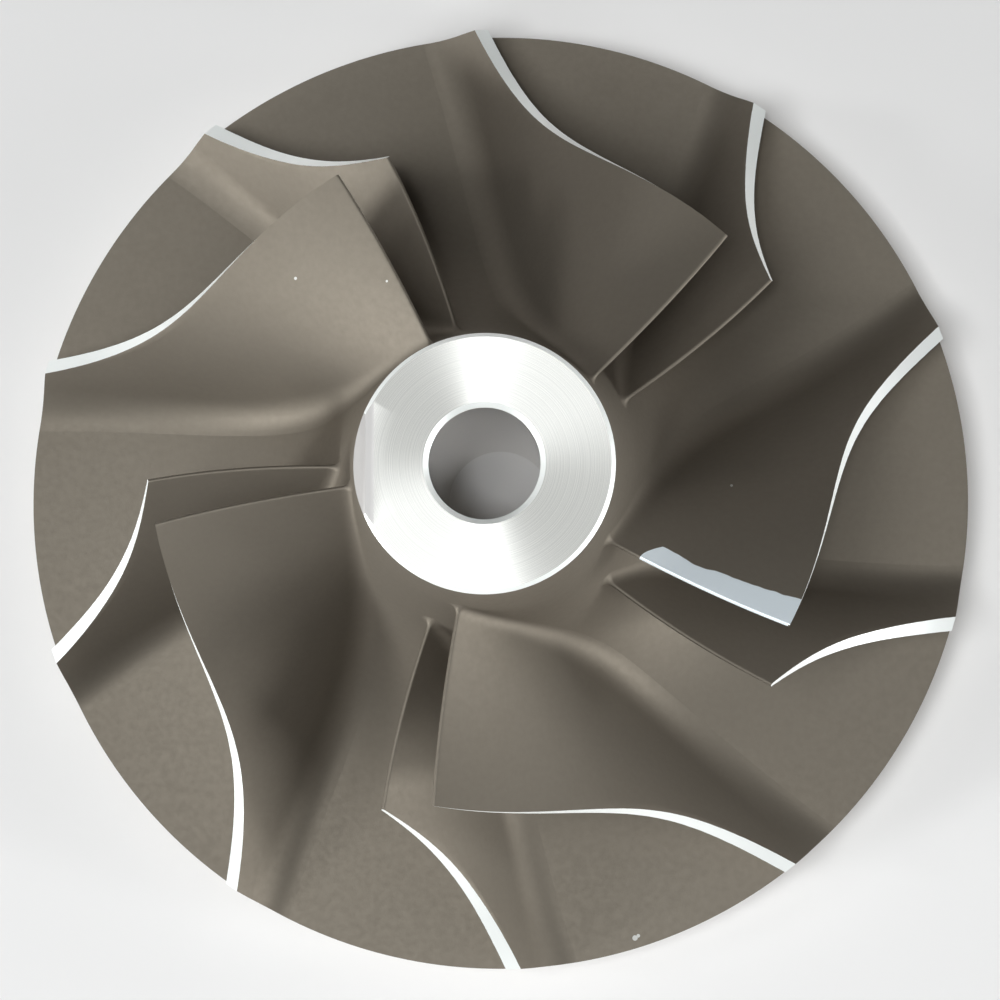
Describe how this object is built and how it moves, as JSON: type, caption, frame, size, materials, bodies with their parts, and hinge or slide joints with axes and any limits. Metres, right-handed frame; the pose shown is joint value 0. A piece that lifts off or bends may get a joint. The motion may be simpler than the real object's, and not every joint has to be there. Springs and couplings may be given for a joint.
{
  "type": "compressor wheel",
  "caption": "Cast aluminium centrifugal compressor wheel with full blades and splitter blades around a bored hub, for a turbocharger",
  "frame": {"origin": "centre of the face of the back boss, on the bore axis", "axes": "+Z along the bore from the back boss to the nose; X and Y lie in the plane of the disc"},
  "size_m": [0.086, 0.086, 0.0364],
  "materials": {
    "cast_aluminium": "as-cast satin, with machined blade edges, rim, nose and bore"
  },
  "bodies": {
    "root": {"compressor_wheel": "cast_aluminium"}
  },
  "joints": []
}
